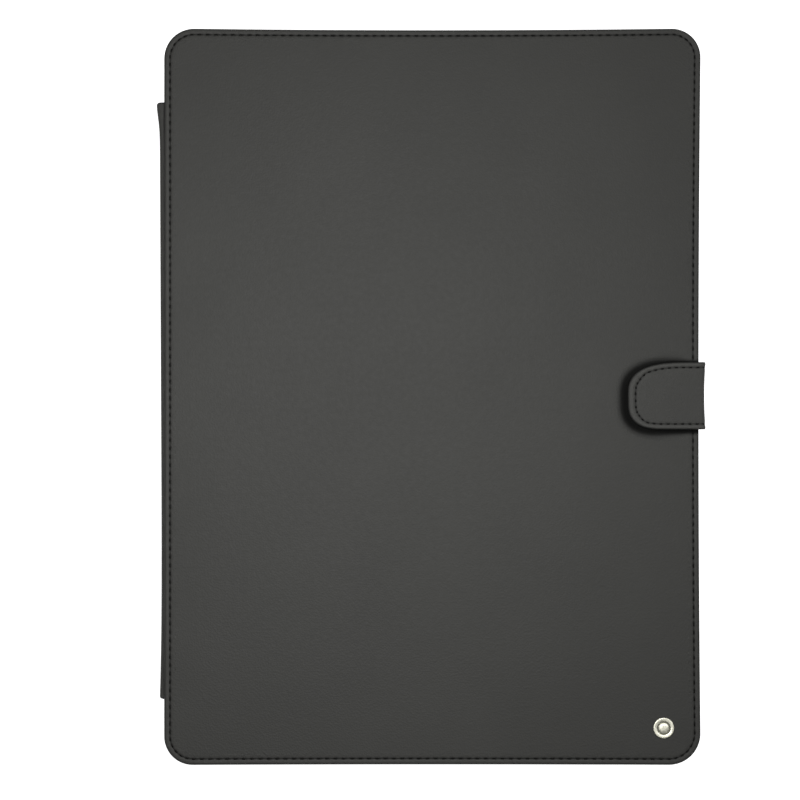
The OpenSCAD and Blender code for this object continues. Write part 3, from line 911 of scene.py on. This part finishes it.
def make_side_band():
    """The band round the tray: one long strip with its cut-outs, joined behind the hinge strip."""
    low, high = box("side_leather")
    joined_at = [[low[0], 0]]
    skin = np.vstack([joined_at, rounded_box(low, high, BACK_CORNER), joined_at])
    run = lengths(skin)
    length = run[-1]
    fine = np.linspace(0, length, FINE_STEPS)
    line = along(fine, run, skin)
    inward = left_of(line)

    def place(uv, depth):
        spot = along(uv[:, 0], fine, line) + along(uv[:, 0], fine, inward) * np.reshape(depth, (-1, 1))
        return np.column_stack([spot, uv[:, 1]])

    holes = []
    for stated in frame["record"]["physics"]["openings"]:
        if not stated["name"].endswith(("_slot", "_left", "_right")):
            continue
        near, far = opening(stated["name"])
        middle, half = (near + far) / 2, (far - near) / 2
        u = fine[np.hypot(line[:, 0] - middle[0], line[:, 1] - middle[1]).argmin()]
        corner = np.array([max(half[0], half[1]) + 0.2, half[2] + 0.1])
        centre = np.array([u, middle[2]])
        holes.append(even(rounded_box(centre - corner, centre + corner, 1.2), 0.5))
    outline = even(rounded_box((0, low[2]), (length, high[2]), 0.05), 1.0)
    cut = [(0.1, 1, 0), (0.0, 1, -0.05), (0.0, 0, 0.4)]
    rings = [*cut, (0.06, 0, 0.2), (0.2, 0, 0.07), (0.45, 0, 0.0)]
    slot_rings = [*cut, (0.08, 0, 0.18), (0.22, 0, 0.05), (0.4, 0, 0.0)]
    grid = (np.arange(1.5, length, 2.0), np.array([2.2, 3.2, 5.0, 6.5, 8.2, 9.3]))
    sheet = Sheet(outline, rings, grid, BAND_LEATHER, holes=holes, hole_rings=slot_rings)
    band = sheet_piece("side_leather_band", sheet, place, LEATHER)
    settle(band, "back_shell", "leather", "side_leather")


def make_tray_lining():
    low, high = box("tray_lining")
    outline = even(rounded_box(low, high, BAY_CORNER), 1.2)
    sheet = Sheet(outline, THIN_RINGS, grid_over(low, high, 9), high[2] - low[2],
                  holes=[circle(camera_centre(), CAMERA_RADIUS)], hole_rings=THIN_RINGS)

    def place(uv, depth):
        return np.column_stack([uv[:, 0], uv[:, 1], high[2] - depth])

    cloth = sheet_piece("tray_lining_cloth", sheet, place, MICROFIBRE)
    settle(cloth, "back_shell", "microfibre", "tray_lining")


# ------------ hinge strip

BAND_EDGE = [
    (0.5, 1, 0), (0.06, 1, -0.06), (0.0, 0.55, 0), (0.06, 0, 0.22), (0.2, 0, 0.08), (0.45, 0, 0.02),
    (0.9, 0, 0.0),
]
SPINE_FLARE = 1.3        # how far the strip's top end stands out beyond the rest
SPINE_SAG = 1.15         # how far it lies in, lower down
FLARE_HEIGHT = 12        # the stretch at the top that has finer cells
SPINE_END_ROUND = 1.3
SPINE_LINING_TOP = 11.4
SPINE_LINING_FOOT = 1.15


def spine_bulge(y):
    """How far the hinge strip stands out at each height, beyond its plain shape."""
    from_top = SPINE_HIGH[1] - y
    from_end = np.clip(np.minimum(from_top, y - SPINE_LOW[1]), 0, SPINE_END_ROUND)
    share = np.clip(from_top / (SPINE_HIGH[1] - SPINE_LOW[1]), 0, 1)
    flare = SPINE_FLARE * np.exp(-((from_top / 9) ** 2))
    sag = SPINE_SAG * share ** 1.1 * (1 - share ** 8)
    missing = SPINE_END_ROUND - from_end
    corner = SPINE_END_ROUND - np.sqrt(np.clip(SPINE_END_ROUND ** 2 - missing ** 2, 0, None))
    return flare - sag - corner


def spine_place(route, inner_face=None):
    """Places a flat piece on the hinge strip's route; a lining's depth counts back from its inner face."""
    def place(uv, depth):
        spots, inward = route.at(uv[:, 0])
        down = depth if inner_face is None else inner_face - depth
        x = spots[:, 0] + inward[:, 0] * down
        z = spots[:, 1] + inward[:, 1] * down
        standing = smooth(0, 1.4, FLANGE_LOW[0] - spots[:, 0])
        return np.column_stack([x - spine_bulge(uv[:, 1]) * standing, uv[:, 1], z])

    return place


def spine_route():
    top, left = box("spine_front_flange")[1][2], SPINE_LOW[0]
    return Route((FLANGE_HIGH[0], top), [(left, top, 1.35), (left, 0, 1.35)], (FLANGE_HIGH[0], 0))


def make_spine():
    route = spine_route()
    middle = middle_between(route, "spine_fold", "cover_fold")
    seam_u = route.length - (FLANGE_HIGH[0] - box("spine_back_thread")[1][0]) - 0.35
    outline = even(rounded_box((0, SPINE_LOW[1]), (route.length, SPINE_HIGH[1]), 0.6), 0.9)

    def relief(uv):
        return 0.14 * np.exp(-(((uv[:, 0] - seam_u) / 0.4) ** 2))

    def build(name, above):
        return sheet_piece(name, sheet, spine_place(route), STRIP_LEATHER, keep=(middle, above))

    round_seam = seam_u + np.array([-1.2, -0.7, -0.35, 0, 0.35, 0.7, 1.2])
    u = spaced(np.append(route.bends(BAND_CELL), round_seam), 0.12)
    plain = np.arange(SPINE_LOW[1] + 2, SPINE_HIGH[1] - FLARE_HEIGHT, 5)
    v = np.concatenate([plain, SPINE_HIGH[1] - np.arange(FLARE_HEIGHT, 0.4, -1.0)])
    sheet = Sheet(outline, BAND_EDGE, (u, v), STRAP_LEATHER, relief=relief)
    make_halves(
        "leather", build,
        ("spine_leather_lower", "spine_fold", True, ["spine_back_flange"]),
        ("spine_leather_upper", "cover_fold", False, ["spine_leather"]),
    )
    stitches = line_stitches((seam_u, SPINE_LOW[1] + 2.5), (seam_u, SPINE_HIGH[1] - 2.5), SMALL_PITCH)
    thread = sew("spine_back_stitches", stitches, spine_place(route), THREAD, sink=0.1, seed=4)
    settle(thread, "back_shell", "thread", "spine_back_thread")
    make_spine_lining(route)


def make_spine_lining(route):
    """The lining of the strip's upright part, between its two folds."""
    start, end = route.where_z(SPINE_LINING_TOP), route.where_z(SPINE_LINING_FOOT)
    low, high = (start, SPINE_LOW[1] + LINING_SET_BACK), (end, SPINE_HIGH[1] - LINING_SET_BACK)
    outline = even(rounded_box(low, high, 0.3), 0.9)
    sheet = Sheet(outline, [(0.1, 1, 0), (0.0, 0.5, 0), (0.08, 0, 0.05), (0.3, 0, 0)],
                  (np.arange(start + 0.7, end, 0.8), np.arange(low[1] + 2, high[1], 5)), STRAP_LINING)
    place = spine_place(route, STRAP_LEATHER + STRAP_LINING)
    cloth = sheet_piece("spine_lining_cloth", sheet, place, MICROFIBRE)
    settle(cloth, "spine", "microfibre", "spine_lining")


# ------------ closing strap

STRAP_WAIST = 0.6
SIDE_LINING_FOOT = 1.4
SIDE_LINING_TOP = 14.0
TAB_REACH = 1.15                 # how far the tab's leather reaches beyond its plain shape
TAB_TIP = TAB_LOW[0] - TAB_REACH
TAB_UPPER = (26.0, 1.0, 2.7)     # length of the upper curve, level where it ends, how square it is
TAB_LOWER = (16.1, -1.5, 2.85)   # the same for the lower curve
TIP_SEAM_SHARE = 0.45            # how much further in the seam runs at the tip
STRAP_RINGS = [
    (0.5, 1, 0), (0.06, 1, -0.06), (0.0, 0.6, 0), (0.04, 0, 0.42), (0.16, 0, 0.22), (0.36, 0, 0.1),
    (0.7, 0, 0.01), (1.1, 0, -0.02), (1.5, 0, 0.02), (1.85, 0, 0.09), (2.1, 0, 0.15), (2.3, 0, 0.17),
    (2.5, 0, 0.15), (2.75, 0, 0.09), (3.1, 0, 0.02), (3.7, 0, 0.0),
]


def strap_route():
    right, top = STRAP_RIGHT, TAB_HIGH[2]
    return Route((ANCHOR_LOW[0], 0), [(right, 0, 1.5), (right, top, 1.9)], (TAB_TIP, top))


def quarter(tip, edge, curve):
    """A quarter of a superellipse, from the tab's side edge to its tip."""
    length, level, power = curve
    angles = np.linspace(0, math.pi / 2, 60)
    u = tip - length + length * np.sin(angles) ** (2 / power)
    v = level + (edge - level) * np.cos(angles) ** (2 / power)
    return np.column_stack([u, v])


def strap_outline(length, inset, start):
    """Outline of the strap laid flat, from its end under the tray to the tab's tip."""
    low, high = TAB_LOW[1] + inset, TAB_HIGH[1] - inset
    lower = quarter(length - inset, low, TAB_LOWER)
    upper = quarter(length - inset, high, TAB_UPPER)[::-1]
    end_radius = 4.9 if start == 0 else 0.4
    corners = rounded([(start, low, end_radius), (start + 12, low, 0.1), (start + 12, high, 0.1),
                       (start, high, end_radius)])
    head, foot = corners[-ARC_POINTS:], corners[:ARC_POINTS]
    return np.vstack([foot, lower, upper, head])


def thicker_on_tab(route, plain, on_tab):
    """A layer of the strap gets thicker on the tab, where it holds the magnet."""
    tab_start = route.length - (STRAP_RIGHT - TAB_TIP)

    def thickness(uv):
        return plain + (on_tab - plain) * smooth(tab_start + 3, tab_start + 9, uv[:, 0])

    return thickness


def strap_place(route, leather, lining=None):
    """Places a flat piece on the strap's route; the lining's depth counts from its inner face."""
    middle_y, half = (TAB_LOW[1] + TAB_HIGH[1]) / 2, (TAB_HIGH[1] - TAB_LOW[1]) / 2

    def place(uv, depth):
        spots, inward = route.at(uv[:, 0])
        down = depth if lining is None else leather(uv) + lining(uv) - depth
        x = spots[:, 0] + inward[:, 0] * down
        z = spots[:, 1] + inward[:, 1] * down
        standing = smooth(0, 1.4, spots[:, 0] - COVER_HIGH[0])
        waist = STRAP_WAIST * (1 - ((uv[:, 1] - middle_y) / half) ** 2)
        return np.column_stack([x - np.clip(waist, 0, None) * standing, uv[:, 1], z])

    return place


def tab_swell(route):
    """The tab's soft crown over its magnet."""
    magnet_low, magnet_high = box("tab_magnet")
    centre = (magnet_low + magnet_high) / 2
    u = route.length - (centre[0] - TAB_TIP)

    def relief(uv):
        return -0.1 * np.exp(-(((uv[:, 0] - u) / 8) ** 2) - (((uv[:, 1] - centre[1]) / 8) ** 2))

    return relief


def make_strap():
    route = strap_route()
    middle = middle_between(route, "strap_fold", "tab_fold")
    leather = thicker_on_tab(route, STRAP_LEATHER, TAB_HIGH[2] - TAB_LINING_HIGH[2])
    lining = thicker_on_tab(route, STRAP_LINING, TAB_LINING_HIGH[2] - TAB_LINING_LOW[2])
    outline = even(strap_outline(route.length, 0, 0), STRAP_PITCH / STATIONS, STATIONS)
    grid = (route.bends(BAND_CELL), np.arange(TAB_LOW[1] + 1, TAB_HIGH[1], BAND_CELL))

    def spread(uv):
        return 1 + TIP_SEAM_SHARE * smooth(route.length - 8, route.length - 1.5, uv[:, 0])

    sheet = Sheet(outline, STRAP_RINGS, grid, leather, seam=Seam(STRAP_SEAM_INSET, STRAP_PIT_DEPTH),
                  relief=tab_swell(route), spread=spread)
    stitches = loop_stitches(outline, STRAP_SEAM_INSET, spread)
    place = strap_place(route, leather)

    def build_leather(name, above):
        return sheet_piece(name, sheet, place, STRIP_LEATHER, keep=(middle, above))

    def build_thread(name, above):
        return sew(name, stitches, place, THREAD, sink=0.2, keep=(middle, above), seed=5)

    make_halves(
        "leather", build_leather,
        ("strap_leather_lower", "strap_fold", False, ["strap_anchor", "strap_side_leather"]),
        ("strap_leather_upper", "tab_fold", True, ["tab_leather"]),
    )
    make_halves(
        "thread", build_thread,
        ("strap_stitches_lower", "strap_fold", False, ["strap_anchor_thread"]),
        ("strap_stitches_upper", "tab_fold", True, ["tab_thread"]),
    )
    make_strap_lining(route, leather, lining)


def make_strap_lining(route, leather, lining):
    """The lining in two cuts: a strip up the side, and the tab's, which turns over the fold."""
    start, joint = route.where_z(SIDE_LINING_FOOT), route.where_z(SIDE_LINING_TOP)
    outline = even(strap_outline(route.length, LINING_SET_BACK, start), 0.5)
    rings = [(0.1, 1, 0), (0.0, 0.5, 0), (0.08, 0, 0.06), (0.3, 0, 0.0), (0.8, 0, 0.0)]
    grid = (route.bends(BAND_CELL), np.arange(TAB_LOW[1] + 1, TAB_HIGH[1], 2))
    sheet = Sheet(outline, rings, grid, lining)
    place = strap_place(route, leather, lining)

    side = sheet_piece("strap_side_lining_cloth", sheet, place, MICROFIBRE, keep=(joint, False))
    settle(side, "strap_side", "microfibre", "strap_side_lining")

    tab = sheet_piece("tab_lining_cloth", sheet, place, MICROFIBRE, keep=(joint, True))
    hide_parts("tab_lining")
    bend(tab)


# ------------ stud

STUD_SHANK = 1.2
STUD_BUTTON_SHARE = 0.55
STUD_GROOVE_WIDTH = 0.4
STUD_RING_HEIGHT = 0.62
STUD_TURNS = 96


def make_stud():
    """A turned stud: a low button in a flat ring, with a groove between that gets painted shade, on a shank."""
    low, high = box("badge_stud")
    centre, radius, face = (low + high) / 2, (high[0] - low[0]) / 2, COVER_HIGH[2]
    ring_top, button_top = face + STUD_RING_HEIGHT, high[2]
    button = radius * STUD_BUTTON_SHARE
    groove_end = button + STUD_GROOVE_WIDTH
    profile = [
        (0, low[2]), (STUD_SHANK, low[2]), (STUD_SHANK, face - 0.05), (radius - 0.25, face - 0.05),
        (radius - 0.04, face + 0.1), (radius, face + 0.32), (radius - 0.05, face + 0.5),
        (radius - 0.2, ring_top - 0.02), (radius - 0.4, ring_top), (groove_end + 0.25, ring_top - 0.05),
        (groove_end, ring_top - 0.16), (groove_end - 0.1, face + 0.1), (button + 0.06, face + 0.1),
        (button, ring_top - 0.15), (button - 0.1, ring_top + 0.02),
    ]
    for share in np.linspace(0.15, 0.95, 8):
        r = (button - 0.1) * (1 - share)
        profile.append((r, ring_top + 0.02 + (button_top - ring_top - 0.02) * (1 - (1 - share) ** 4)))
    profile.append((0, button_top))
    turns, groove_middle = STUD_TURNS, button + STUD_GROOVE_WIDTH / 2
    points, in_groove = [], []
    for r, z in profile:
        count = turns if r > 0 else 1
        angles = 2 * math.pi * np.arange(count) / turns
        points += [[centre[0] + r * math.cos(a), centre[1] + r * math.sin(a), z] for a in angles]
        # How much painted shade the groove gets at each ring
        deep = math.exp(-(((r - groove_middle) / STUD_GROOVE_WIDTH * 1.7) ** 2)) * (z > face)
        in_groove += [deep] * count
    last, tip = len(points) - 1 - turns, len(points) - 1
    faces = [[0, 1 + (k + 1) % turns, 1 + k] for k in range(turns)]
    faces += tube_faces(1, len(profile) - 2, turns)
    faces += [[last + k, last + (k + 1) % turns, tip] for k in range(turns)]
    stud = make_mesh("stud_turned", np.array(points), faces, STUD_METAL, {"groove": in_groove})
    settle(stud, "front_cover", "stud_metal", "badge_stud")


# ------------ carried-over CAD nodes

def dress_cad_nodes():
    """Gives the rigid and hidden CAD parts their materials."""
    finishes = {
        "shell": (SHELL, "moulded_shell"),
        "cover_board": (BOARD, "board"),
        "badge_washer": (STEEL, "steel"),
        "keeper_plate": (STEEL, "steel"),
        "sleep_magnets": (MAGNET, "magnet"),
        "tab_magnet": (MAGNET, "magnet"),
    }
    for name, (material, slot_name) in finishes.items():
        part = frame["nodes"][name]
        for slot in part.material_slots:
            slot.material = material


# ------------ camera, floor and light

def make_camera():
    data = bpy.data.cameras.new("camera")
    data.sensor_width = SENSOR
    view_width = (COVER_HIGH[1] - COVER_LOW[1]) / COVER_SHARE_OF_VIEW
    data.lens = SENSOR * CAMERA_HEIGHT / view_width
    data.clip_end = 100
    camera = bpy.data.objects.new("camera", data)
    height = COVER_HIGH[2] + CAMERA_HEIGHT
    camera.location = Vector((CAMERA_SIDE_STEP, CAMERA_DOWN_STEP, height)) * MM
    bpy.context.scene.collection.objects.link(camera)
    bpy.context.scene.camera = camera


def area_light(name, place, size, power, aim=(0, 0, 0)):
    """A soft light that isn't seen itself."""
    data = bpy.data.lights.new(name, "AREA")
    data.shape = "DISK"
    data.size = size
    data.energy = power
    light = bpy.data.objects.new(name, data)
    light.location = place
    light.rotation_euler = (Vector(aim) - Vector(place)).to_track_quat("-Z", "Y").to_euler()
    light.visible_camera = False
    bpy.context.scene.collection.objects.link(light)


def make_stage():
    """White floor under the lowest pose, a dim sky, a soft light close above and a key light."""
    bpy.ops.mesh.primitive_plane_add(size=FLOOR_SIZE, location=(0, 0, -FLOOR_DROP * MM))
    floor = bpy.context.object
    floor.name = "floor"
    glow = {"Emission_Color": (1, 1, 1, 1), "Emission_Strength": FLOOR_GLOW}
    look = Look("floor_white", (0.9, 0.9, 0.9), 1.0, Specular_IOR_Level=0.0, **glow)
    floor.data.materials.append(look.material)
    world = bpy.data.worlds.new("sky")
    world.use_nodes = True
    background = world.node_tree.nodes["Background"]
    background.inputs["Color"].default_value = (1, 1, 1, 1)
    background.inputs["Strength"].default_value = SKY_STRENGTH
    bpy.context.scene.world = world
    area_light("overhead", OVERHEAD_PLACE, OVERHEAD_SIZE, OVERHEAD_POWER, OVERHEAD_AIM)
    area_light("key", KEY_PLACE, KEY_SIZE, KEY_POWER)
    bpy.context.scene.view_settings.view_transform = "Standard"


make_camera()
make_stage()
make_cover()
make_cover_lining()
make_pockets()
make_back()
make_side_band()
make_tray_lining()
make_spine()
make_strap()
make_stud()
dress_cad_nodes()
